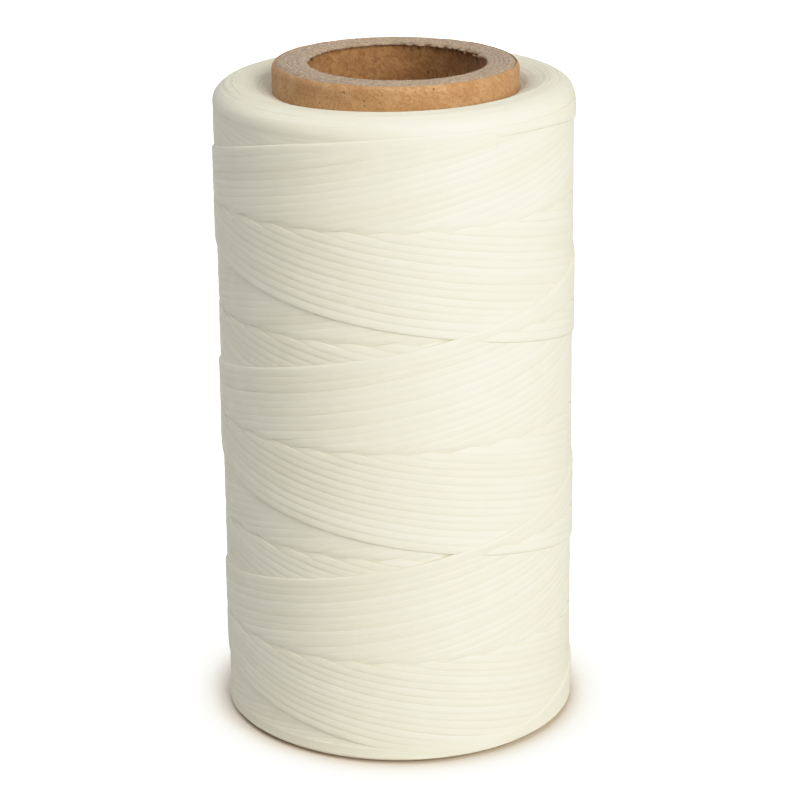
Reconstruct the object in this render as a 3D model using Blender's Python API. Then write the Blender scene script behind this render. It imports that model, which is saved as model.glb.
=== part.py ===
"""Spool of waxed sewing thread: one flat thread cross-wound on a laminated paperboard core.

Metres, +Z up. The origin is the centre of the core's lower end and +Z runs up its bore. The core is a paper
liner, six plies of grey board and a kraft wrap, each a sleeve of its own, glued one round the other.
"""

import math

import bmesh
import bpy

# Driving dimensions.
CORE_LENGTH = 0.0950
BORE_RADIUS = 0.0127
PAPER_THICKNESS = 0.00035
BOARD_THICKNESS = 0.00060
BOARD_PLIES = 6
GLUE_LINE = 0.00002
RIM_ROUNDING = 0.0010

PACKAGE_BASE_RADIUS = 0.0255
PACKAGE_TOP_RADIUS = 0.0252
PACKAGE_LIFT = 0.0003
CORE_ABOVE_CROWN = 0.0025
END_DISH = 0.0011
CROWN_RADIUS = 0.0215
SHOULDER_WIDTH = 0.0034
SHOULDER_HEIGHT = 0.0026
FOOT_ROUNDING = 0.0006

FACETS = 72
SHARP_ANGLE = math.radians(40)

# Worked out from the above.
WALL_THICKNESS = 2 * PAPER_THICKNESS + BOARD_PLIES * BOARD_THICKNESS + (BOARD_PLIES + 1) * GLUE_LINE
CORE_RADIUS = BORE_RADIUS + WALL_THICKNESS
RIM_START = CORE_RADIUS - RIM_ROUNDING

KRAFT = (0.58, 0.36, 0.17, 1.0)
GREY_BOARD = (0.46, 0.37, 0.28, 1.0)
BROWN_LINER = (0.36, 0.19, 0.08, 1.0)
WAXED_WHITE = (0.86, 0.84, 0.73, 1.0)


def clear_scene():
    for obj in list(bpy.data.objects):
        bpy.data.objects.remove(obj, do_unlink=True)


def make_material(name, colour, roughness):
    material = bpy.data.materials.new(name)
    material.use_nodes = True
    shader = material.node_tree.nodes["Principled BSDF"]
    shader.inputs["Base Color"].default_value = colour
    shader.inputs["Roughness"].default_value = roughness
    shader.inputs["Metallic"].default_value = 0.0
    return material


def make_ring(name, outline, material):
    """Turns a closed outline of (radius, height) points once round the Z axis."""
    mesh = bpy.data.meshes.new(name)
    shape = bmesh.new()
    corners = [shape.verts.new((radius, 0.0, height)) for radius, height in outline]
    edges = [shape.edges.new((a, b)) for a, b in zip(corners, corners[1:] + corners[:1])]
    bmesh.ops.spin(
        shape,
        geom=corners + edges,
        cent=(0.0, 0.0, 0.0),
        axis=(0.0, 0.0, 1.0),
        angle=math.tau,
        steps=FACETS,
        use_merge=True,
    )
    bmesh.ops.recalc_face_normals(shape, faces=shape.faces)
    shape.to_mesh(mesh)
    shape.free()
    mesh.shade_smooth()
    mesh.set_sharp_from_angle(angle=SHARP_ANGLE)
    mesh.materials.append(material)
    ring = bpy.data.objects.new(name, mesh)
    bpy.context.scene.collection.objects.link(ring)
    return ring


def rim_drop(radius):
    """How far the worn rim has dropped below the core's end at this radius."""
    across = max(0.0, radius - RIM_START)
    return RIM_ROUNDING - math.sqrt(max(0.0, RIM_ROUNDING**2 - across**2))


def ply_outline(inner, outer):
    """A ply's section: straight walls, and ends that follow the rim where the ply reaches it."""
    rounded = outer > RIM_START
    steps = 3 if rounded else 1
    radii = [inner + (outer - inner) * step / steps for step in range(steps + 1)]
    upper = [(radius, CORE_LENGTH - rim_drop(radius)) for radius in radii]
    lower = [(radius, rim_drop(radius)) for radius in reversed(radii)]
    return upper + lower


def arc(centre, width, height, start, end, steps):
    """Points of an elliptical arc about centre, from the start angle to the end angle."""
    points = []
    for step in range(steps + 1):
        angle = start + (end - start) * step / steps
        points.append((centre[0] + width * math.cos(angle), centre[1] + height * math.sin(angle)))
    return points


def package_outline():
    """The wound package's section: dished ends, a soft upper shoulder and a tight lower edge."""
    inner = CORE_RADIUS + GLUE_LINE
    crown = CORE_LENGTH - CORE_ABOVE_CROWN
    shoulder = (PACKAGE_TOP_RADIUS - SHOULDER_WIDTH, crown - SHOULDER_HEIGHT)
    foot = (PACKAGE_BASE_RADIUS - FOOT_ROUNDING, PACKAGE_LIFT + FOOT_ROUNDING)
    points = [(inner, crown - END_DISH)]
    points += arc(shoulder, SHOULDER_WIDTH, SHOULDER_HEIGHT, math.pi / 2, 0.0, 6)
    points += arc(foot, FOOT_ROUNDING, FOOT_ROUNDING, 0.0, -math.pi / 2, 3)
    points += [(CROWN_RADIUS, PACKAGE_LIFT), (inner, PACKAGE_LIFT + END_DISH)]
    return points


def build_core():
    kraft = make_material("kraft_paper", KRAFT, 0.75)
    board = make_material("grey_board", GREY_BOARD, 0.9)
    liner = make_material("liner_paper", BROWN_LINER, 0.8)
    inner = BORE_RADIUS
    outer = inner + PAPER_THICKNESS
    make_ring("core_inner_liner", ply_outline(inner, outer), liner)
    for ply in range(1, BOARD_PLIES + 1):
        inner = outer + GLUE_LINE
        outer = inner + BOARD_THICKNESS
        make_ring(f"core_board_ply_{ply}", ply_outline(inner, outer), board)
    inner = outer + GLUE_LINE
    make_ring("core_outer_wrap", ply_outline(inner, inner + PAPER_THICKNESS), kraft)


def build_package():
    waxed_thread = make_material("waxed_thread", WAXED_WHITE, 0.45)
    make_ring("wound_thread", package_outline(), waxed_thread)


def main():
    clear_scene()
    build_core()
    build_package()


main()
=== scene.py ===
"""Looks of a spool of waxed sewing thread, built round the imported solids.

The outer cover of thread is wound here turn by turn. A flat strand is laid down and up the package, each new
turn beside the last and over what lies there already, so that the bands, crossings and steps come from the
winding itself.

Metres, +Z up the core's axis, seen from -Y. Angles go round from +X.
"""

import math

import bpy
import numpy as np
from mathutils import Matrix, Vector, noise


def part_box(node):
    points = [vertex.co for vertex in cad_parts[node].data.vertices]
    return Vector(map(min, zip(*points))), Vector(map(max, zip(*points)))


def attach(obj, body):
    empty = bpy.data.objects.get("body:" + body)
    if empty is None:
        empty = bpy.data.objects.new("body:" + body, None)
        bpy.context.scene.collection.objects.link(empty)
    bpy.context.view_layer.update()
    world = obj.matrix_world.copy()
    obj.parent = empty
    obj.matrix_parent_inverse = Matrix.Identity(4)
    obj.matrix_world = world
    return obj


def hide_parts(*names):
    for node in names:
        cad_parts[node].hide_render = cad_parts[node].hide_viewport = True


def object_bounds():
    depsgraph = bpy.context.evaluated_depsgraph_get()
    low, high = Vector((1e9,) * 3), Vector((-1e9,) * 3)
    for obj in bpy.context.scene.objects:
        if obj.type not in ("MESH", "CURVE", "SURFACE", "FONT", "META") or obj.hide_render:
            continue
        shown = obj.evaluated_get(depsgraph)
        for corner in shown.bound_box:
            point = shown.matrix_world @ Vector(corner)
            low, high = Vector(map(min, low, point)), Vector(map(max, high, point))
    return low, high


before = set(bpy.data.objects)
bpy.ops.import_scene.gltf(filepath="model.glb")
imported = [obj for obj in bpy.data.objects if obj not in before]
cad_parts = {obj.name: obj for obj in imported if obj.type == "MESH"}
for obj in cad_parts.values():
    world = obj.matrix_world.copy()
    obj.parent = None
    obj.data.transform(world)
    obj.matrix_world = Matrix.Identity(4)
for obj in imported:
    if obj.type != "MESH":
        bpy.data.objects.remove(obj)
CAD_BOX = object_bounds()

MM = 0.001
SEED = 20117
BODY = "root"
SHARP_EDGE = math.radians(40.0)

# The core.
CORE_LENGTH = CAD_BOX[1].z
CORE_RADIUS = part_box("core_outer_wrap")[1].x
BORE_RADIUS = 12.7 * MM
PAPER = 0.35 * MM
BOARD_PLIES = 6
PLY_PITCH = (CORE_RADIUS - BORE_RADIUS - 2 * PAPER) / BOARD_PLIES
GLUE_GAP = 0.02 * MM
RIM_COLUMNS = 540

# The core's rounded rims. The kraft paper is turned over them, by an angle in degrees, and the board's cut
# ends lie a little inside.
RIM_ROUNDING = 1.05 * MM
RIM_CENTRE = CORE_RADIUS - RIM_ROUNDING
BOARD_RIM_CENTRE = RIM_CENTRE - 0.25 * MM
BOARD_SUNK = 0.03 * MM
PLY_RIDGE = 0.07 * MM
CUT_UNEVEN, CUT_STEP = 0.035 * MM, 0.02 * MM
FUZZ_DEPTH, FUZZ_SIZE = 0.06 * MM, 0.35 * MM
FINE_FUZZ_DEPTH, FINE_FUZZ_SIZE = 0.04 * MM, 0.16 * MM
PLY_ROWS = 8
WALL_TOP = 2.0 * MM
KRAFT_THICKNESS = 0.3 * MM
KRAFT_TURNED_OVER = 60.0
KRAFT_SUNK = 0.03 * MM
CURL_ROWS, KRAFT_SIDE_ROWS = 12, 26
DENT_DEPTH, DENT_BELOW_END, DENT_WIDTH = 0.025 * MM, 2.4 * MM, 1.3 * MM

# The bore's upper rim. It is torn from one angle to the other, in degrees, and the cut left a burr all round.
TORN_FROM, TORN_TO = 8.0, 88.0
TEAR_GROWS, TEAR_FADES = 14.0, 10.0
NOTCH_ANGLE, NOTCH_WIDTH, NOTCH_DEPTH = 160.0, 5.0, 0.9 * MM
BURR, BURR_BIAS, BURR_ANGLE = 0.30 * MM, 0.32 * MM, math.radians(141.0)
BURR_NOSE, BURR_NOSE_ANGLES = 0.17 * MM, np.radians([-90.0, -60.0, -25.0, 15.0, 50.0, 78.0])
BURR_UNEVEN, BURR_FRAY, BURR_TORN = 0.05 * MM, 0.035 * MM, 0.40 * MM
SHORTEST_BURR, LONGEST_BURR = 0.02 * MM, 1.3 * MM
LINER_SUNK = 0.45 * MM
LINER_LENGTH, LINER_ROWS = 93.0 * MM, 40
LINER_RIM_DEPTHS = np.array([0.0, 0.12, 0.25, 0.4, 0.6, 0.85]) * MM
LINER_CURL, LINER_TORN_CURL, LINER_FRAY = 0.04 * MM, 0.45 * MM, 0.05 * MM
CURL_DEPTH = 0.35 * MM
LINER_DIP, DIP_DEPTH = 0.12 * MM, 2.0 * MM
RIM_FIBRES = 260
FIBRE_STEPS, FIBRE_SIDES, FIBRE_TAPER = 4, 3, 0.75

# The package's turned shape.
PACKAGE_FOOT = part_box("wound_thread")[0].z
PACKAGE_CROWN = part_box("wound_thread")[1].z
BASE_RADIUS = 25.28 * MM
TOP_RADIUS = 25.16 * MM
CROWN_RADIUS = 21.8 * MM
SHOULDER_HEIGHT = 2.6 * MM
SHOULDER_FOOT = PACKAGE_CROWN - SHOULDER_HEIGHT
FOOT_ROUNDING = 0.7 * MM
END_DISH = 1.5 * MM
END_OVERLAP = 0.05 * MM
SHOULDER_RIDGE, FACE_RIDGE, FOOT_RIDGE = 0.020 * MM, 0.050 * MM, 0.018 * MM
FACE_RIDGE_FROM_TO = (0.8 * MM, 3.6 * MM)
TUCK, TUCK_FROM_TO = 0.1 * MM, (0.2 * MM, 1.6 * MM)
LIP_RIPPLE, LIP_HEIGHT, LIP_WIDTH = 0.09 * MM, 0.45 * MM, 0.22 * MM
UPPER_END_COLUMNS, SHOULDER_ROWS, FACE_ROWS = 600, 46, 61
LOWER_END_COLUMNS, LOWER_END_ROWS, LOWER_END_TOP = 480, 26, 2.2 * MM
INNER_TURNS_DEPTH = 1.0 * MM
INNER_TURNS_FOOT, INNER_TURNS_CROWN = PACKAGE_FOOT + 0.6 * MM, PACKAGE_CROWN - 3.0 * MM
INNER_TURNS_ROWS, INNER_TURNS_COLUMNS = 60, 120

# The package stands a hair askew on its core: it leans, and its turns tilt, fully so from a small height up.
LEAN = -0.0079
SKEW = 0.0155
SKEW_FULL_HEIGHT = 12 * MM
SLACK = 2 * MM

# The winding. Sweeps, dwells and steps are in degrees.
THREAD_WIDTH = 1.42 * MM
THREAD_THICKNESS = 0.28 * MM
LEAD = 30.9 * MM
CLIMB = LEAD / 360.0
TURNS_UP = 3
FULL_SWEEP = 360.0 * TURNS_UP
STEP_BACK = 13.0
PASS_SWEEP = FULL_SWEEP - STEP_BACK / 2
APEX_ANGLE = 295.5
LOWER_APEX = 0.1 * MM
UPPER_DWELL = 128.0
LOWER_DWELL = 60.0
CYCLES = 30
CYCLES_PER_PIECE = 5
BRIDGE = 0.7 * MM
STRAND_SUNK = 0.1 * THREAD_THICKNESS
SECTION_ANGLE = 2.5
SECTION_STEPS = round(PASS_SWEEP / SECTION_ANGLE)

# Places across the strand, from its lower edge to its upper one on the way up and mirrored on the way down,
# and their rises in thicknesses: one edge is steep, the other sloped, and both are sunk.
SECTION = np.array([-1.0, -0.95, -0.66, 0.0, 0.55, 0.8, 0.93, 1.0])
SECTION_RISE = np.array([-0.5, 0.78, 0.92, 1.0, 0.93, 0.72, 0.35, -0.5])

# How the strand strays from its course and varies, away from its apexes. A pair of sweeps is the shortest wave
# and the longest.
LOOSE_SWEEP = 60.0
STRAND_STRAY, PASS_STRAY = 0.035 * MM, 0.045 * MM
STRAY_KEPT, STRAY_FRESH = 0.75, 0.66
STRAY_SWEEPS = (40.0, 260.0)
SIZE_SPREAD = 0.03
WIDTH_SWEEPS, THICKNESS_SWEEPS = (12.0, 120.0), (20.0, 160.0)
PROUD_SPREAD = 0.009 * MM
PROUD_SWEEPS = (40.0, 400.0)

# Near either end of the package the strand is pressed flush and flatter: from pressed to free, as heights.
UPPER_PRESSED, UPPER_FREE = PACKAGE_CROWN - 2.0 * MM, PACKAGE_CROWN - 3.7 * MM
LOWER_PRESSED, LOWER_FREE = PACKAGE_FOOT + 1.0 * MM, PACKAGE_FOOT + 3.8 * MM
PRESSED_THICKNESS = 0.40
PRESSED_PROUD, PROUD_PER_PASS = 0.03 * MM, 0.0016 * MM

# Colours.
CREAM = (0.735, 0.715, 0.595)
CREAM_PATCH = (0.735, 0.725, 0.61)
# The deeper cream tints the filaments. Along each strand's edges, it and the edge cream below are painted shade
# of the grooves between turns.
CREAM_FILAMENT_AND_GROOVE_SHADE = (0.65, 0.61, 0.46)
CREAM_GROOVE_SHADE = (0.55, 0.51, 0.395)
CREAM_PALE = (0.80, 0.79, 0.69)
KRAFT = {"mid": (0.42, 0.228, 0.093), "light": (0.52, 0.315, 0.15), "dark": (0.325, 0.16, 0.056)}
LINER = {"mid": (0.305, 0.142, 0.046), "light": (0.39, 0.21, 0.082), "dark": (0.20, 0.086, 0.025)}
PAPER_GRAIN_ANGLE, PAPER_STRETCH = math.radians(-35.0), (0.62, 1.0, 1.15)
PULP_DARK, PULP_LIGHT = (0.27, 0.185, 0.115), (0.43, 0.32, 0.225)
# The darkest pulp colour is painted shade, for small pits in the cut ends.
PULP_FIBRE, PULP_PIT_SHADE = (0.63, 0.53, 0.40), (0.16, 0.105, 0.06)
FLOOR_DARK, FLOOR_PALE, FLOOR_SHADE = (0.63, 0.63, 0.63), (0.65, 0.65, 0.65), (0.60, 0.51, 0.40)

# The camera.
EYE = (0.0, -0.3622, 0.1710)
PITCH, YAW, ROLL = 0.3339, 0.0013, -0.0030
LENS = 119.9
SENSOR = 36.0

# The floor, whose shade is leaned to the front left, and the tent of light.
FLOOR_HALF_SIDE = 3.0
SHADE_REACH = 16 * MM
SHADE_SIDE = (0.36, 0.87, 0.34)
FLOOR_GLOW, FLOOR_GLOW_COLOUR = 1.6, (1.0, 0.97, 0.93)
TENT_COLOUR = (0.96, 0.975, 1.0, 1.0)
HORIZON_LIGHT, ZENITH_LIGHT = 0.30, 0.13
BACKDROP_GLOW = 1.6

# The softboxes: name, degrees round from the camera's side towards +X, degrees up, watts and colour.
SOFTBOX_SIZE, SOFTBOX_DISTANCE = 1.1, 1.4
SOFTBOXES = (
    ("key", 39, 30, 24.2, (1.0, 0.965, 0.89)),
    ("back", -115, 50, 7.0, (1.0, 0.985, 0.98)),
    ("top", -70, 80, 3.0, (1.0, 0.985, 0.97)),
    ("left", -80, 4, 1.1, (0.99, 0.985, 1.0)),
)

# The view's tone curve, as light in and brightness out, for light up to WHITE_LIGHT. The blue channel goes on
# through a shoulder of its own, which keeps the brightest thread cream.
WHITE_LIGHT = 1.6
STRAIGHT = ((0.1, 0.1), (0.3, 0.3), (0.5, 0.5), (0.7, 0.7))
SHOULDER = (*STRAIGHT, (0.8, 0.785), (0.9, 0.85), (1.0, 0.905), (1.2, 0.965))
BLUE_SHOULDER = ((0.3, 0.3), (0.5, 0.49), (0.7, 0.655), (0.82, 0.745), (0.92, 0.86))
ALL_CHANNELS, BLUE_CHANNEL = 3, 2


# ---------------------------------------------------------------- numbers and meshes


def smoothstep(low, high, value):
    part = np.clip((value - low) / (high - low), 0.0, 1.0)
    return part * part * (3.0 - 2.0 * part)


def bell(value, middle, width):
    return np.exp(-(((value - middle) / width) ** 2))


def waves(rng, along, shortest, longest, count=14):
    """Smooth noise, about one high, from waves between two lengths; longer waves stand taller."""
    total = np.zeros_like(along)
    lengths = np.exp(rng.uniform(math.log(shortest), math.log(longest), count))
    for length in lengths:
        total += math.sqrt(length) * np.sin(math.tau * along / length + rng.uniform(0, math.tau))
    return total / math.sqrt(0.5 * lengths.sum())


def ring_waves(rng, angle, fewest, most, count=12):
    """The same round a ring, so that it closes, from waves that go round a whole number of times."""
    total = np.zeros_like(angle)
    turns = rng.integers(fewest, most + 1, count)
    for turn in turns:
        total += np.sin(turn * angle + rng.uniform(0, math.tau)) / math.sqrt(turn)
    return total / math.sqrt(0.5 * (1.0 / turns).sum())


def grain(points, size, shift):
    """Noise of the given size at each point, from -1 to 1."""
    flat = points.reshape(-1, 3) / size + shift
    values = [noise.noise(Vector(place)) for place in flat.tolist()]
    return np.array(values).reshape(points.shape[:-1])


def make_object(name, points, faces, attributes=None):
    mesh = bpy.data.meshes.new(name)
    mesh.from_pydata(points.reshape(-1, 3).tolist(), [], faces)
    mesh.shade_smooth()
    mesh.set_sharp_from_angle(angle=SHARP_EDGE)
    for label, values in (attributes or {}).items():
        layer = mesh.attributes.new(label, "FLOAT", "POINT")
        layer.data.foreach_set("value", np.ascontiguousarray(values, np.float32).ravel())
    piece = bpy.data.objects.new(name, mesh)
    bpy.context.scene.collection.objects.link(piece)
    return piece


def grid_faces(rows, columns, close_rows, close_columns):
    """Quads of a rows x columns grid of points, joined back on itself where asked."""
    row = np.arange(rows if close_rows else rows - 1)
    column = np.arange(columns if close_columns else columns - 1)
    above, left = np.meshgrid(row, column, indexing="ij")
    below, right = (above + 1) % rows, (left + 1) % columns
    corners = [(above, left), (above, right), (below, right), (below, left)]
    return np.stack([a * columns + b for a, b in corners], -1).reshape(-1, 4)


def turned(radius, turn, height):
    """Points at these radii, angles and heights, which may be arrays of shapes that go together."""
    radius, turn, height = np.broadcast_arrays(radius, turn, height)
    return np.stack([radius * np.cos(turn), radius * np.sin(turn), height], -1)


def full_turn(columns):
    return np.arange(columns) * math.tau / columns


def level_row(value, columns):
    return np.full((1, columns), value)


def ring_piece(name, radius, height, columns, adjust=None):
    """A closed ring: its outline turned about the axis. radius and height are rows, or rows x columns."""
    points = turned(radius, full_turn(columns)[None, :], height)
    if adjust:
        points = adjust(points)
    return make_object(name, points, grid_faces(points.shape[0], columns, True, True).tolist())


# ---------------------------------------------------------------- the package's shape


def side_radius(height):
    """Radius of the wound surface: a faint taper, the rounded upper shoulder and the tight foot."""
    share = np.clip(height / PACKAGE_CROWN, 0.0, 1.0)
    radius = BASE_RADIUS + (TOP_RADIUS - BASE_RADIUS) * share
    shoulder = np.clip((height - SHOULDER_FOOT) / SHOULDER_HEIGHT, 0.0, 1.0)
    radius -= (TOP_RADIUS - CROWN_RADIUS) * (1.0 - np.sqrt(1.0 - shoulder**2))
    foot = np.clip((PACKAGE_FOOT + FOOT_ROUNDING - height) / FOOT_ROUNDING, 0.0, 1.0)
    return radius - FOOT_ROUNDING * (1.0 - np.sqrt(1.0 - foot**2))


def settle(points):
    """Leans the package's points, though not at the core, and tilts its turns, though not at the floor."""
    reach = np.hypot(points[..., 0], points[..., 1])
    slack = smoothstep(CORE_RADIUS, CORE_RADIUS + SLACK, reach)
    points[..., 0] += LEAN * slack * (points[..., 2] - 0.5 * CORE_LENGTH)
    free = np.clip(points[..., 2] / SKEW_FULL_HEIGHT, 0.0, 1.0)
    points[..., 2] += SKEW * points[..., 0] * free
    return points


# ---------------------------------------------------------------- winding


def traverse_height(along):
    """Height of the strand at an angle past its lower apex, rounded where it turns back at either end."""
    height = LOWER_APEX + CLIMB * along
    low = along < LOWER_DWELL / 2
    height[low] = LOWER_APEX + CLIMB * (LOWER_DWELL / 4 + along[low] ** 2 / LOWER_DWELL)
    remaining = PASS_SWEEP - along
    high = remaining < UPPER_DWELL / 2
    top = LOWER_APEX + CLIMB * PASS_SWEEP
    height[high] = top - CLIMB * (UPPER_DWELL / 4 + remaining[high] ** 2 / UPPER_DWELL)
    return height


def strand_base(turn, height, cycle, direction):
    """Radius of what the strand lies on, which every turn laid on a place has raised a little.

    Turns in its own direction have just come full circle there. The others were laid an age ago, as a share
    of a full round, and their newest edge is a step that the taut strand bridges.
    """
    to_come = CYCLES - 1 - cycle
    newest = APEX_ANGLE + (to_come + (direction < 0)) * STEP_BACK
    rise = CLIMB * (turn - newest)
    gap = (height - LOWER_APEX + rise) if direction > 0 else (LOWER_APEX + rise - height)
    age = (gap / LEAD) % 1.0
    reach = BRIDGE / LEAD
    low, high = age < reach, age > 1.0 - reach
    age = np.where(low, 0.5 + (reach - 0.5) * smoothstep(0.0, reach, age), age)
    age = np.where(high, 0.5 + (0.5 - reach) * smoothstep(0.0, reach, 1.0 - age), age)
    layers = 2.0 * to_come * STEP_BACK / 360.0 + age
    return side_radius(height) - STRAND_SUNK - THREAD_THICKNESS * layers


def freedom(height):
    """0 where the strand is pressed flush near an end of the package, and 1 where it lies free."""
    free = smoothstep(UPPER_PRESSED, UPPER_FREE, height)
    return free * smoothstep(LOWER_PRESSED, LOWER_FREE, height)


def course(cycle, direction, along):
    """Angle in degrees and height of the strand's middle through a pass, as it is laid."""
    lower = APEX_ANGLE + (CYCLES - 1 - cycle) * STEP_BACK
    if direction > 0:
        return lower + along, traverse_height(along)
    return lower - along[::-1], traverse_height(along[::-1])


def strand_pass(rng, cycle, direction, drift):
    """Points round the strand through one pass: down from its upper turn to the lower one, or up again."""
    along = np.linspace(0.0, PASS_SWEEP, SECTION_STEPS + 1)
    degrees, height = course(cycle, direction, along)
    loose = smoothstep(0, LOOSE_SWEEP, along) * smoothstep(0, LOOSE_SWEEP, along[-1] - along)
    height = height + drift * loose
    tilt = np.arctan(np.gradient(height, np.radians(along[1])) / BASE_RADIUS)
    free = freedom(height)
    width = THREAD_WIDTH * (1.0 + SIZE_SPREAD * waves(rng, along, *WIDTH_SWEEPS))
    thickness = THREAD_THICKNESS * (PRESSED_THICKNESS + (1.0 - PRESSED_THICKNESS) * free)
    thickness = thickness * (1.0 + SIZE_SPREAD * waves(rng, along, *THICKNESS_SWEEPS))
    proud = PROUD_SPREAD * waves(rng, along, *PROUD_SWEEPS) + rng.normal(0.0, PROUD_SPREAD)
    newness = 2 * (cycle - CYCLES) + (direction > 0)
    section, rises = (SECTION, SECTION_RISE) if direction > 0 else (-SECTION[::-1], SECTION_RISE[::-1])
    points = []
    for across, rise in zip(section, rises):
        shift = 0.5 * across * width
        turn = degrees - np.degrees(shift * np.sin(tilt) / BASE_RADIUS)
        place = height + shift * np.cos(tilt)
        rest = strand_base(turn, place, cycle, direction) + proud * loose
        flush = side_radius(place) - thickness + PRESSED_PROUD + PROUD_PER_PASS * newness
        radius = free * rest + (1.0 - free) * flush + thickness * rise
        points.append(turned(radius, np.radians(turn), place))
    return np.stack(points, 1)


def wind():
    """Every pass of the outer cover, oldest first. Each strays much as the last did, so gaps stay fine."""
    rng = np.random.default_rng(SEED)
    along = np.linspace(0.0, FULL_SWEEP, SECTION_STEPS + 1)
    wander = {direction: waves(rng, along, *STRAY_SWEEPS) for direction in (-1, 1)}
    passes = []
    for cycle in range(CYCLES):
        for direction in (-1, 1):
            fresh = waves(rng, along, *STRAY_SWEEPS)
            wander[direction] = STRAY_KEPT * wander[direction] + STRAY_FRESH * fresh
            drift = STRAND_STRAY * wander[direction] + rng.normal(0.0, PASS_STRAY)
            passes.append((cycle, strand_pass(rng, cycle, direction, drift)))
    return passes


def thread_piece(passes, number, cycles):
    """The strand through a run of passes, as one closed ribbon, with its length in mm for the filaments."""
    rng = np.random.default_rng(SEED + 100 + number)
    laid = [sections for cycle, sections in passes if cycle in cycles]
    strand = laid[:1] + [sections[1:] for sections in laid[1:]]
    points = settle(np.concatenate(strand))
    count, around = points.shape[:2]
    step = np.linalg.norm(np.diff(points[:, around // 2], axis=0), axis=1)
    length = np.concatenate([[0.0], np.cumsum(step)]) / MM
    faces = grid_faces(count, around, False, True)[:, ::-1].tolist()
    faces.append(list(range(around)))
    faces.append(list(range(count * around - 1, (count - 1) * around - 1, -1)))
    attributes = {
        "along": np.repeat(length, around),
        "across": np.tile(np.linspace(-1.0, 1.0, around), count),
        "tone": np.repeat(waves(rng, length, 30.0, 900.0), around),
    }
    return make_object(f"thread_turns_{number}", points, faces, attributes)


def inner_turns():
    """The turns beneath the outer cover, as one ring just under them."""
    height = np.linspace(INNER_TURNS_FOOT, INNER_TURNS_CROWN, INNER_TURNS_ROWS)
    outline = side_radius(height) - INNER_TURNS_DEPTH
    inner = CORE_RADIUS - 2 * END_OVERLAP
    radius = np.concatenate([[inner], outline, [inner]])
    height = np.concatenate([height[:1], height, height[-1:]])
    columns = INNER_TURNS_COLUMNS
    return ring_piece("thread_inner_turns", radius[:, None], height[:, None], columns, settle)


def end_ridges(rng, travel, turn, depth):
    """Ridges of the turns' edges round an end of the package, softened and part filled by wax."""
    wander = 0.35 * ring_waves(rng, turn, 1, 5) + 0.12 * ring_waves(rng, turn, 6, 20)
    ring = travel[:, None] / THREAD_THICKNESS + wander[None, :]
    ridge = np.sin(math.pi * (ring % 1.0)) ** 0.8
    index = np.floor(ring).astype(int)
    strength = np.zeros_like(ring)
    for number in np.unique(index):
        amount = 0.55 + 0.45 * ring_waves(rng, turn, 1, 6) + rng.uniform(-0.3, 0.5)
        mask = index == number
        strength[mask] = np.broadcast_to(amount, ring.shape)[mask]
    return depth * ridge * np.clip(strength, 0.0, 1.6)


def upper_outline():
    """Radius and height along the upper end: over the rolled shoulder, then over the dished face to the core."""
    swing = np.linspace(math.pi / 2, 0.0, SHOULDER_ROWS)
    shoulder = CROWN_RADIUS + (TOP_RADIUS - CROWN_RADIUS) * np.sin(swing)
    shoulder_height = SHOULDER_FOOT + SHOULDER_HEIGHT * np.cos(swing)
    face = np.linspace(CROWN_RADIUS, CORE_RADIUS - END_OVERLAP, FACE_ROWS + 1)[1:]
    sunk = ((CROWN_RADIUS - face) / (CROWN_RADIUS - CORE_RADIUS)) ** 1.6
    radius = np.concatenate([shoulder, face])
    return radius, np.concatenate([shoulder_height, PACKAGE_CROWN - END_DISH * sunk])


def upper_end_turns():
    """The package's upper end, with the edges of its turns. Its skirt is tucked under the strand."""
    rng = np.random.default_rng(SEED + 1)
    columns = UPPER_END_COLUMNS
    radius, height = upper_outline()
    travel = np.concatenate([[0.0], np.cumsum(np.hypot(np.diff(radius), np.diff(height)))])
    depth = SHOULDER_RIDGE + FACE_RIDGE * smoothstep(*FACE_RIDGE_FROM_TO, travel)
    ridges = end_ridges(rng, travel, full_turn(columns), depth[:, None])
    radius = radius - TUCK * (1.0 - smoothstep(*TUCK_FROM_TO, travel))
    outward = np.gradient(height, travel)[:, None]
    upward = np.gradient(-radius, travel)[:, None]
    radius = radius[:, None] + ridges * outward
    height = height[:, None] + ridges * upward
    low = level_row(SHOULDER_FOOT - 2.2 * MM, columns)
    skirt_height = [low, level_row(SHOULDER_FOOT - 0.5 * MM, columns)]
    skirt = [level_row(TOP_RADIUS - 0.6 * MM, columns), level_row(TOP_RADIUS - 0.18 * MM, columns)]
    radius = np.concatenate(skirt + [radius, level_row(CORE_RADIUS - END_OVERLAP, columns)])
    height = np.concatenate(skirt_height + [height, low])
    return ring_piece("thread_upper_end", radius, height, columns, settle)


def lower_end_turns():
    """The package's lower end: the last flush turns, a thin lip round the foot, and the hidden face."""
    rng = np.random.default_rng(SEED + 2)
    columns = LOWER_END_COLUMNS
    turn = full_turn(columns)
    underside = PACKAGE_FOOT + 0.02 * MM
    height = np.linspace(LOWER_END_TOP, underside, LOWER_END_ROWS)
    lip = bell(height, PACKAGE_FOOT + LIP_HEIGHT, LIP_WIDTH)
    ripple = LIP_RIPPLE * (0.6 + 0.5 * ring_waves(rng, turn, 3, 40))
    radius = (side_radius(height) - 0.02 * MM)[:, None]
    radius = radius + lip[:, None] * np.clip(ripple, 0.0, None)[None, :]
    radius = radius + end_ridges(rng, height[0] - height, turn, FOOT_RIDGE)
    height = np.broadcast_to(height[:, None], radius.shape)
    inner, hidden = level_row(CORE_RADIUS - END_OVERLAP, columns), level_row(BASE_RADIUS - 0.8 * MM, columns)
    low, inside = level_row(underside, columns), level_row(underside + 3.0 * MM, columns)
    radius = np.concatenate([radius, inner, inner, hidden])
    height = np.concatenate([height, low, inside, inside])
    return ring_piece("thread_lower_end", radius[::-1], height[::-1], columns, settle)


# ---------------------------------------------------------------- the core


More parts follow.
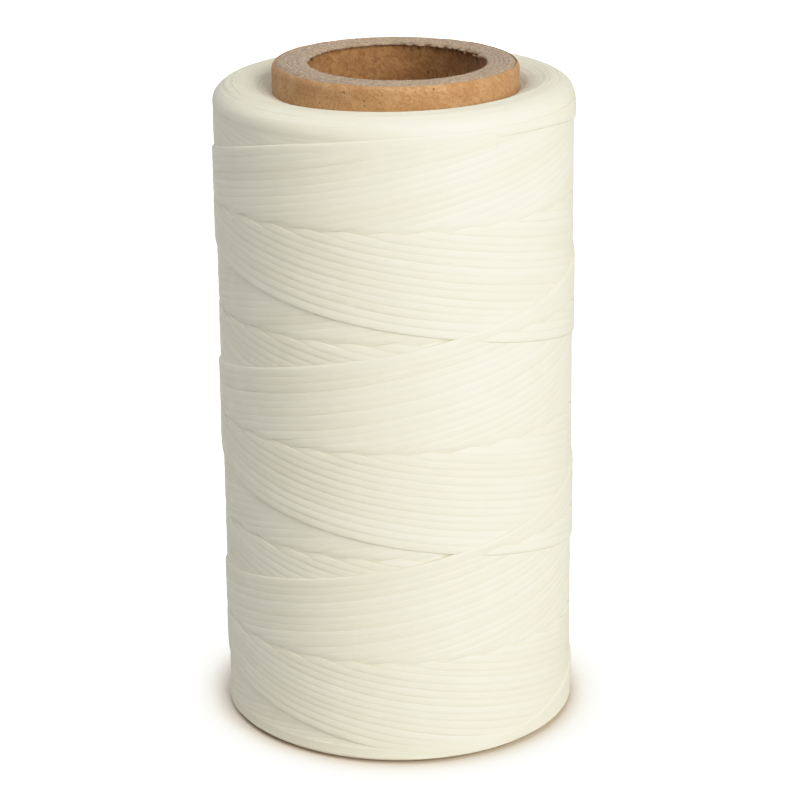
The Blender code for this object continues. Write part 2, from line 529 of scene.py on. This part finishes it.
def rim_drop(radius):
    """How far the board's rounded rim lies below its end face."""
    past = np.clip((radius - BOARD_RIM_CENTRE) / RIM_ROUNDING, 0.0, 0.999)
    return RIM_ROUNDING * (1.0 - np.sqrt(1.0 - past**2))


def tearing(turn):
    """How torn the bore's upper rim is round the turn, from 0 to 1."""
    degrees = np.degrees(turn)
    grown = smoothstep(TORN_FROM, TORN_FROM + TEAR_GROWS, degrees)
    return grown * (1 - smoothstep(TORN_TO - TEAR_FADES, TORN_TO, degrees))


def clean_burr(turn):
    """How far the burr of a clean cut hangs into the bore: more on one side."""
    return BURR + BURR_BIAS * np.cos(turn - BURR_ANGLE)


def burr(rng, turn):
    """How far the cut's burr hangs into the bore round the turn, uneven, and ragged where it is torn."""
    reach = clean_burr(turn) + BURR_UNEVEN * ring_waves(rng, turn, 6, 40)
    reach = reach + BURR_FRAY * ring_waves(rng, turn, 60, 170)
    ragged = BURR_TORN * tearing(turn) * (0.6 + 0.7 * ring_waves(rng, turn, 12, 70))
    return np.clip(reach + ragged, SHORTEST_BURR, LONGEST_BURR)


def burr_rows(rng, turn, top):
    """Radius and height of the burr's rows: from under it, round its nose, to the innermost ply's cut end."""
    swing = BURR_NOSE_ANGLES[:, None]
    nose = BORE_RADIUS - burr(rng, turn)[None, :] + BURR_NOSE
    radius = nose - BURR_NOSE * np.cos(swing)
    height = top[:1] - BURR_NOSE * (1.0 - np.sin(swing)) - 0.05 * MM
    points = turned(radius, turn[None, :], height)
    radius = radius + 0.05 * MM * grain(points, 0.3 * MM, 5.0)
    return radius, height + 0.03 * MM * grain(points, 0.2 * MM, 9.0)


def cut_end(rng, number, radius, share, turn):
    """Height of a ply's cut end: ridged between its glue lines, uneven round the turn, and fuzzy."""
    flat = CORE_LENGTH - BOARD_SUNK - rim_drop(radius)
    ridge = PLY_RIDGE * (1.0 - np.abs(2 * share - 1) ** 3)
    uneven = CUT_UNEVEN * ring_waves(rng, turn, 2, 12)[None, :] + CUT_STEP * rng.normal()
    points = turned(radius, turn[None, :], flat)
    fuzz = FUZZ_DEPTH * grain(points, FUZZ_SIZE, 7.0 * number)
    fuzz = fuzz + FINE_FUZZ_DEPTH * grain(points, FINE_FUZZ_SIZE, 31.0)
    top = flat - PLY_RIDGE + ridge + uneven * share * (1 - share) * 4 + fuzz
    return np.minimum(top, CORE_LENGTH)


def board_ply(number):
    """One sleeve of grey board. The innermost one carries the burr of the cut at its upper end."""
    rng = np.random.default_rng(SEED + 20 + number)
    turn = full_turn(RIM_COLUMNS)
    inner = BORE_RADIUS + PAPER + (number - 1) * PLY_PITCH + GLUE_GAP / 2
    outer = inner + PLY_PITCH - GLUE_GAP
    share = np.linspace(0.0, 1.0, PLY_ROWS)[:, None]
    radius = np.broadcast_to(inner + (outer - inner) * share, (PLY_ROWS, RIM_COLUMNS))
    top = cut_end(rng, number, radius, share, turn)
    foot = 0.1 * MM + rim_drop(radius[[0, -1]])
    walls, levels = [radius[:1], radius[:1]], [foot[:1], top[:1] - WALL_TOP]
    if number == 1:
        lip_radius, lip_height = burr_rows(rng, turn, top)
        walls += [radius[:1], lip_radius]
        levels += [lip_height[:1] - 0.02 * MM, lip_height]
    radius = np.concatenate(walls + [radius, radius[-1:], radius[-1:]])
    height = np.concatenate(levels + [top, top[-1:] - WALL_TOP, foot[1:]])
    return ring_piece(f"board_ply_{number}", radius[::-1], height[::-1], RIM_COLUMNS)


def kraft_wrap():
    """The kraft paper round the core, turned over its rounded rims to an uneven edge."""
    rng = np.random.default_rng(SEED + 3)
    turn = full_turn(RIM_COLUMNS)
    reach = np.radians(KRAFT_TURNED_OVER + 4.0 * ring_waves(rng, turn, 3, 30))
    swing = np.linspace(0.0, 1.0, CURL_ROWS)[:, None] * reach[None, :]
    curl_radius = RIM_CENTRE + RIM_ROUNDING * np.cos(swing)
    curl_height = RIM_ROUNDING * (np.sin(swing) - 1.0)
    low, high = RIM_ROUNDING, CORE_LENGTH - RIM_ROUNDING
    side_height = low + (high - low) * np.linspace(0.0, 1.0, KRAFT_SIDE_ROWS)[1:-1, None] ** 0.6
    dents = DENT_DEPTH * ring_waves(rng, turn, 2, 16)[None, :]
    dented = bell(side_height, CORE_LENGTH - DENT_BELOW_END, DENT_WIDTH)
    wall = CORE_RADIUS - KRAFT_SUNK + dents * dented
    side_height = np.broadcast_to(side_height, wall.shape)
    radius = np.concatenate([curl_radius[::-1], wall, curl_radius])
    height = np.concatenate([-curl_height[::-1], side_height, CORE_LENGTH + curl_height])
    points = turned(radius, turn[None, :], height)
    radius = radius + 0.012 * MM * grain(points, 0.5 * MM, 3.0) - 0.012 * MM
    inside = np.minimum(radius - 0.7 * KRAFT_THICKNESS, CORE_RADIUS - KRAFT_THICKNESS)
    back = [radius[-1], inside[-CURL_ROWS], inside[CURL_ROWS - 1], radius[0]]
    back_height = height[[-1, -CURL_ROWS, CURL_ROWS - 1, 0]]
    back_height = back_height - KRAFT_THICKNESS * np.array([1.0, 0.0, 0.0, -1.0])[:, None]
    radius = np.concatenate([radius, np.stack(back)])
    height = np.concatenate([height, back_height])
    return ring_piece("kraft_wrap", radius, height, RIM_COLUMNS)


def bore_liner():
    """The brown paper lining the bore, torn and rolled inward along part of its upper rim."""
    rng = np.random.default_rng(SEED + 4)
    turn = full_turn(RIM_COLUMNS)
    depth = np.concatenate([LINER_RIM_DEPTHS, np.linspace(1.2 * MM, LINER_LENGTH, LINER_ROWS)])[:, None]
    rough = 0.5 + 0.5 * ring_waves(rng, turn, 20, 90)
    curl = (LINER_CURL + LINER_TORN_CURL * tearing(turn)) * np.clip(rough, 0.0, 1.5)
    curl = curl + LINER_FRAY * np.clip(ring_waves(rng, turn, 40, 160), 0.0, 2.0)
    inner = BORE_RADIUS - curl[None, :] * np.exp(-depth / CURL_DEPTH)
    notch = bell(np.degrees(turn), NOTCH_ANGLE, NOTCH_WIDTH) * (0.8 + 0.2 * rough)
    dip = LINER_DIP * np.abs(ring_waves(rng, turn, 30, 120)) + NOTCH_DEPTH * notch
    height = CORE_LENGTH - LINER_SUNK - dip[None, :] * np.exp(-depth / DIP_DEPTH) - depth
    points = turned(inner, turn[None, :], height)
    inner = inner + 0.03 * MM * grain(points, 0.6 * MM, 11.0) - 0.01 * MM
    outer = level_row(BORE_RADIUS + PAPER, RIM_COLUMNS)
    crest = BORE_RADIUS + 0.1 * MM - 0.4 * curl[None, :]
    edge = height[:1] + 0.03 * MM
    radius = np.concatenate([outer, crest, inner, outer])
    height = np.concatenate([edge - 0.08 * MM, edge, height, height[-1:]])
    return ring_piece("bore_liner", radius, height, RIM_COLUMNS)


def fibre(rng, turn):
    """Corners of one thin, bent and tapered sliver of paper that stands off the bore's rim at this angle."""
    rim = BORE_RADIUS - clean_burr(turn)
    start_x = (rim + rng.uniform(0.0, 0.3) * MM) * math.cos(turn)
    start_y = (rim + rng.uniform(0.0, 0.3) * MM) * math.sin(turn)
    start = Vector((start_x, start_y, CORE_LENGTH - rng.uniform(0.02, 0.2) * MM))
    inward = Vector((-math.cos(turn), -math.sin(turn), 0.0))
    sideways = Vector((-math.sin(turn), math.cos(turn), 0.0))
    heading = inward * rng.uniform(0.2, 1.0) + sideways * rng.normal(0.0, 1.0)
    heading.z = rng.uniform(-0.5, 0.15)
    heading.normalize()
    length = rng.uniform(0.3, 1.1) * MM
    bend = Vector(rng.normal(0.0, 0.5, 3).tolist())
    thick = rng.uniform(0.018, 0.035) * MM
    across = heading.cross(Vector((0, 0, 1))).normalized()
    over = across.cross(heading)
    corners = []
    for step in range(FIBRE_STEPS + 1):
        share = step / FIBRE_STEPS
        middle = start + heading * length * share + bend * length * share**2 * 0.5
        middle.z = min(middle.z, CORE_LENGTH - thick)
        girth = thick * (1.0 - FIBRE_TAPER * share)
        for swing in full_turn(FIBRE_SIDES):
            corners.append(middle + across * girth * math.cos(swing) + over * girth * math.sin(swing))
    return corners


def rim_fibres():
    """Loose paper fibres round the bore's rim, two in three of them where it is torn."""
    rng = np.random.default_rng(SEED + 5)
    strips = grid_faces(FIBRE_STEPS + 1, FIBRE_SIDES, False, True)[:, [0, 3, 2, 1]]
    start_cap = np.arange(FIBRE_SIDES)
    end_cap = start_cap[::-1] + FIBRE_STEPS * FIBRE_SIDES
    points, faces = [], []
    for number in range(RIM_FIBRES):
        degrees = rng.uniform(TORN_FROM, TORN_TO) if number % 3 else rng.uniform(0.0, 360.0)
        first = len(points)
        points += [list(corner) for corner in fibre(rng, math.radians(degrees))]
        faces += (strips + first).tolist() + [(start_cap + first).tolist(), (end_cap + first).tolist()]
    return make_object("rim_fibres", np.array(points), faces)


# ---------------------------------------------------------------- materials


class Look:
    """A procedural material, built node by node."""

    def __init__(self, name):
        self.material = bpy.data.materials.new(name)
        self.material.use_nodes = True
        self.tree = self.material.node_tree
        self.shader = self.tree.nodes["Principled BSDF"]
        self.place = self.node("ShaderNodeTexCoord").outputs["Object"]

    def node(self, kind, settings=None, inputs=None):
        made = self.tree.nodes.new(kind)
        for key, value in (settings or {}).items():
            setattr(made, key, value)
        for key, value in (inputs or {}).items():
            self.feed(made.inputs[key], value)
        return made

    def feed(self, socket, value):
        if isinstance(value, bpy.types.NodeSocket):
            self.tree.links.new(value, socket)
        elif isinstance(value, tuple) and len(value) == 3 and socket.type == "RGBA":
            socket.default_value = (*value, 1.0)
        else:
            socket.default_value = value

    def set(self, **inputs):
        for key, value in inputs.items():
            self.feed(self.shader.inputs[key.replace("_", " ")], value)

    def attribute(self, name):
        return self.node("ShaderNodeAttribute", {"attribute_name": name}).outputs["Fac"]

    def stretched(self, vector, scale):
        return self.node("ShaderNodeVectorMath", {"operation": "MULTIPLY"}, {0: vector, 1: scale}).outputs[0]

    def joined(self, x, y, z):
        return self.node("ShaderNodeCombineXYZ", None, {0: x, 1: y, 2: z}).outputs[0]

    def cloud(self, size, detail=3.0, vector=None, distortion=0.0, roughness=0.55):
        """Noise from 0 to 1 with features of this size, in metres unless a vector is given."""
        inputs = {"Vector": vector or self.place, "Scale": 1.0 / size, "Detail": detail}
        inputs.update({"Distortion": distortion, "Roughness": roughness})
        return self.node("ShaderNodeTexNoise", None, inputs).outputs["Fac"]

    def math(self, operation, first, second=0.0):
        return self.node("ShaderNodeMath", {"operation": operation}, {0: first, 1: second}).outputs[0]

    def between(self, value, low, high, to_low=0.0, to_high=1.0):
        inputs = {"Value": value, "From Min": low, "From Max": high, "To Min": to_low, "To Max": to_high}
        return self.node("ShaderNodeMapRange", {"interpolation_type": "SMOOTHSTEP"}, inputs).outputs[0]

    def mix(self, share, first, second):
        return self.node("ShaderNodeMix", {"data_type": "RGBA"}, {0: share, 6: first, 7: second}).outputs[2]

    def bump(self, height, distance, strength=1.0):
        inputs = {"Height": height, "Distance": distance, "Strength": strength}
        self.set(Normal=self.node("ShaderNodeBump", None, inputs).outputs[0])


def waxed_thread(turns):
    """Waxed polyester, off-white and satin: turns with filaments and with painted groove shade darkening their
    edges, or the pressed ends.
    """
    look = Look("waxed_turns" if turns else "waxed_ends")
    patch = look.between(look.cloud(9 * MM, 2.0), 0.3, 0.7)
    colour = look.mix(patch, CREAM, CREAM_PATCH)
    if turns:
        along, across = look.attribute("along"), look.attribute("across")
        tone = look.attribute("tone")
        colour = look.mix(look.between(tone, -1.2, 1.8, 0.0, 0.45), colour, CREAM_PALE)
        edge = look.math("ABSOLUTE", across)
        # Painted groove shade: the strand darkens towards its edges, and more so right at them, where the turns
        # meet.
        colour = look.mix(look.between(edge, 0.4, 0.9, 0.0, 0.12), colour, CREAM_FILAMENT_AND_GROOVE_SHADE)
        colour = look.mix(look.between(edge, 0.76, 0.97, 0.0, 0.5), colour, CREAM_GROOVE_SHADE)
        fibre_place = look.joined(along, look.math("MULTIPLY", across, 7.0), tone)
        filaments = look.cloud(1.0, 3.0, look.stretched(fibre_place, (0.25, 1.0, 1.0)))
    else:
        colour = look.mix(0.2, colour, CREAM_PALE)
        filaments = look.cloud(0.5 * MM, 3.0, look.stretched(look.place, (0.3, 0.3, 2.2)))
    haze = look.between(look.cloud(3.5 * MM, 3.0), 0.45, 0.75, 0.0, 0.35)
    colour = look.mix(haze, colour, CREAM_PALE)
    colour = look.mix(look.between(filaments, 0.3, 0.7, 0.0, 0.14), colour, CREAM_FILAMENT_AND_GROOVE_SHADE)
    look.set(Base_Color=colour)
    look.set(Roughness=look.between(look.cloud(2.5 * MM, 3.0), 0.3, 0.7, 0.40, 0.58))
    look.set(Sheen_Weight=0.05, Specular_IOR_Level=0.45)
    look.bump(filaments, 0.02 * MM, 0.35)
    return look.material


def paper(name, mid, light, dark, fibre_size, bump_depth):
    """Kraft or liner paper: matt, mottled, with tangled fibres and a few darker and paler specks."""
    look = Look(name)
    lay = {"Axis": (0.0, 1.0, 0.0), "Angle": PAPER_GRAIN_ANGLE, "Vector": look.place}
    turned_place = look.node("ShaderNodeVectorRotate", {"rotation_type": "AXIS_ANGLE"}, lay).outputs[0]
    lengthwise = look.stretched(turned_place, PAPER_STRETCH)
    mottle = look.between(look.cloud(2.6 * MM, 4.0), 0.3, 0.7)
    colour = look.mix(mottle, mid, light)
    tangle = look.cloud(fibre_size, 4.0, lengthwise, 0.8, 0.65)
    colour = look.mix(look.between(tangle, 0.42, 0.64, 0.0, 0.7), colour, dark)
    pale = look.between(look.cloud(0.35 * MM, 3.0, None, 2.2), 0.56, 0.66, 0.0, 0.65)
    colour = look.mix(pale, colour, light)
    speck = look.between(look.cloud(0.55 * MM, 1.0), 0.71, 0.78, 0.0, 0.85)
    colour = look.mix(speck, colour, tuple(0.35 * part for part in dark))
    look.set(Base_Color=colour, Roughness=0.82, Specular_IOR_Level=0.3, Sheen_Weight=0.1)
    look.bump(tangle, bump_depth, 0.8)
    return look.material


def cut_board():
    """Cut ends of grey board: taupe pulp with whitish torn fibres, and dark specks painted as the shade of small
    pits.
    """
    look = Look("cut_board")
    pulp = look.cloud(0.5 * MM, 4.0, None, 1.0, 0.7)
    colour = look.mix(look.between(pulp, 0.36, 0.64), PULP_DARK, PULP_LIGHT)
    fibres = look.between(look.cloud(0.24 * MM, 3.0, None, 2.5), 0.53, 0.64, 0.0, 0.8)
    colour = look.mix(fibres, colour, PULP_FIBRE)
    # Painted shade: dark specks stand for the shade in small pits of the cut pulp.
    painted_pit_shade = look.between(look.cloud(0.3 * MM, 2.0, None, 1.5), 0.58, 0.68, 0.0, 0.75)
    colour = look.mix(painted_pit_shade, colour, PULP_PIT_SHADE)
    look.set(Base_Color=colour, Roughness=0.9, Specular_IOR_Level=0.25, Sheen_Weight=0.15)
    look.bump(pulp, 0.05 * MM, 0.9)
    return look.material


def floor_paper():
    """Pale seamless floor, seen as if lit from beneath except where something stands close to it."""
    look = Look("pale_floor")
    patch = look.between(look.cloud(40 * MM, 2.0), 0.3, 0.7)
    pale = look.mix(patch, FLOOR_DARK, FLOOR_PALE)
    nearness = {"Distance": SHADE_REACH, "Normal": SHADE_SIDE}
    open_sky = look.node("ShaderNodeAmbientOcclusion", {"samples": 12}, nearness).outputs["AO"]
    look.set(Base_Color=look.mix(look.between(open_sky, 0.35, 0.85), FLOOR_SHADE, pale), Roughness=0.95)
    seen = look.node("ShaderNodeLightPath").outputs["Is Camera Ray"]
    glow = look.between(open_sky, 0.52, 0.94, 0.0, FLOOR_GLOW)
    look.set(Emission_Color=FLOOR_GLOW_COLOUR, Emission_Strength=look.math("MULTIPLY", glow, seen))
    return look.material


# ---------------------------------------------------------------- the room


def add_softbox(name, side, elevation, power, colour):
    turn, rise = math.radians(side), math.radians(elevation)
    heading = Vector((math.sin(turn) * math.cos(rise), -math.cos(turn) * math.cos(rise), math.sin(rise)))
    light = bpy.data.lights.new(name, "AREA")
    light.shape = "SQUARE"
    light.size = SOFTBOX_SIZE
    light.energy = power
    light.color = colour
    lamp = bpy.data.objects.new(name, light)
    lamp.location = Vector((0.0, 0.0, 0.5 * CORE_LENGTH)) + SOFTBOX_DISTANCE * heading
    lamp.rotation_euler = heading.to_track_quat("Z", "Y").to_euler()
    bpy.context.scene.collection.objects.link(lamp)


def build_floor():
    side = FLOOR_HALF_SIDE
    corners = np.array([(-side, -side, 0), (side, -side, 0), (side, side, 0), (-side, side, 0)])
    floor = make_object("floor", corners, [[0, 1, 2, 3]])
    floor.data.materials.append(floor_paper())


def build_tent():
    """The room: a dim tent, brighter low down, that glows white for the camera only."""
    world = bpy.data.worlds.new("studio")
    bpy.context.scene.world = world
    world.use_nodes = True
    tree = world.node_tree
    background = tree.nodes["Background"]
    background.inputs["Color"].default_value = TENT_COLOUR
    direction = tree.nodes.new("ShaderNodeTexCoord")
    parts = tree.nodes.new("ShaderNodeSeparateXYZ")
    level = tree.nodes.new("ShaderNodeMapRange")
    level.interpolation_type = "SMOOTHSTEP"
    level.inputs["To Min"].default_value = HORIZON_LIGHT
    level.inputs["To Max"].default_value = ZENITH_LIGHT
    seen = tree.nodes.new("ShaderNodeLightPath")
    strength = tree.nodes.new("ShaderNodeMath")
    strength.operation = "MULTIPLY_ADD"
    strength.inputs[1].default_value = BACKDROP_GLOW
    tree.links.new(direction.outputs["Generated"], parts.inputs[0])
    tree.links.new(parts.outputs["Z"], level.inputs["Value"])
    tree.links.new(seen.outputs["Is Camera Ray"], strength.inputs[0])
    tree.links.new(level.outputs[0], strength.inputs[2])
    tree.links.new(strength.outputs[0], background.inputs["Strength"])


def build_light():
    """The key on the right in front, one behind on the left, one overhead and a faint one at the left."""
    build_tent()
    for softbox in SOFTBOXES:
        add_softbox(*softbox)


def build_camera():
    camera = bpy.data.cameras.new("camera")
    camera.sensor_width = SENSOR
    camera.lens = LENS
    camera.clip_start = 10 * MM
    eye = bpy.data.objects.new("camera", camera)
    bpy.context.scene.collection.objects.link(eye)
    forward = Vector((math.sin(YAW) * math.cos(PITCH), math.cos(YAW) * math.cos(PITCH), -math.sin(PITCH)))
    right = forward.cross(Vector((0, 0, 1))).normalized()
    up = right.cross(forward)
    level = Matrix((right, up, -forward)).transposed()
    eye.rotation_euler = (level @ Matrix.Rotation(ROLL, 3, "Z")).to_euler()
    eye.location = EYE
    bpy.context.scene.camera = eye


def soften_highlights():
    """A film-like shoulder, so that the brightest side keeps little contrast and doesn't burn out."""
    view = bpy.context.scene.view_settings
    view.view_transform = "Standard"
    view.use_curve_mapping = True
    mapping = view.curve_mapping
    mapping.white_level = (WHITE_LIGHT, WHITE_LIGHT, WHITE_LIGHT)
    for light_in, light_out in SHOULDER:
        mapping.curves[ALL_CHANNELS].points.new(light_in / WHITE_LIGHT, light_out)
    for light_in, light_out in BLUE_SHOULDER:
        mapping.curves[BLUE_CHANNEL].points.new(light_in, light_out)
    mapping.update()


# ---------------------------------------------------------------- putting it together


def finish_piece(piece, material, nodes):
    piece.data.materials.append(material)
    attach(piece, BODY)
    for node in nodes:
        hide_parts(node)


def build_thread():
    passes = wind()
    turns, ends = waxed_thread(True), waxed_thread(False)
    for number, first in enumerate(range(0, CYCLES, CYCLES_PER_PIECE), 1):
        piece = thread_piece(passes, number, range(first, first + CYCLES_PER_PIECE))
        finish_piece(piece, turns, ["wound_thread"])
    for piece in (inner_turns(), upper_end_turns(), lower_end_turns()):
        finish_piece(piece, ends, ["wound_thread"])


def build_core():
    kraft = paper("kraft", **KRAFT, fibre_size=0.45 * MM, bump_depth=0.03 * MM)
    brown = paper("liner", **LINER, fibre_size=0.6 * MM, bump_depth=0.08 * MM)
    board = cut_board()
    finish_piece(kraft_wrap(), kraft, ["core_outer_wrap"])
    finish_piece(bore_liner(), brown, ["core_inner_liner"])
    for number in range(1, BOARD_PLIES + 1):
        finish_piece(board_ply(number), board, [f"core_board_ply_{number}"])
    finish_piece(rim_fibres(), board, ["core_board_ply_1"])


build_core()
build_thread()
build_floor()
build_light()
build_camera()
soften_highlights()
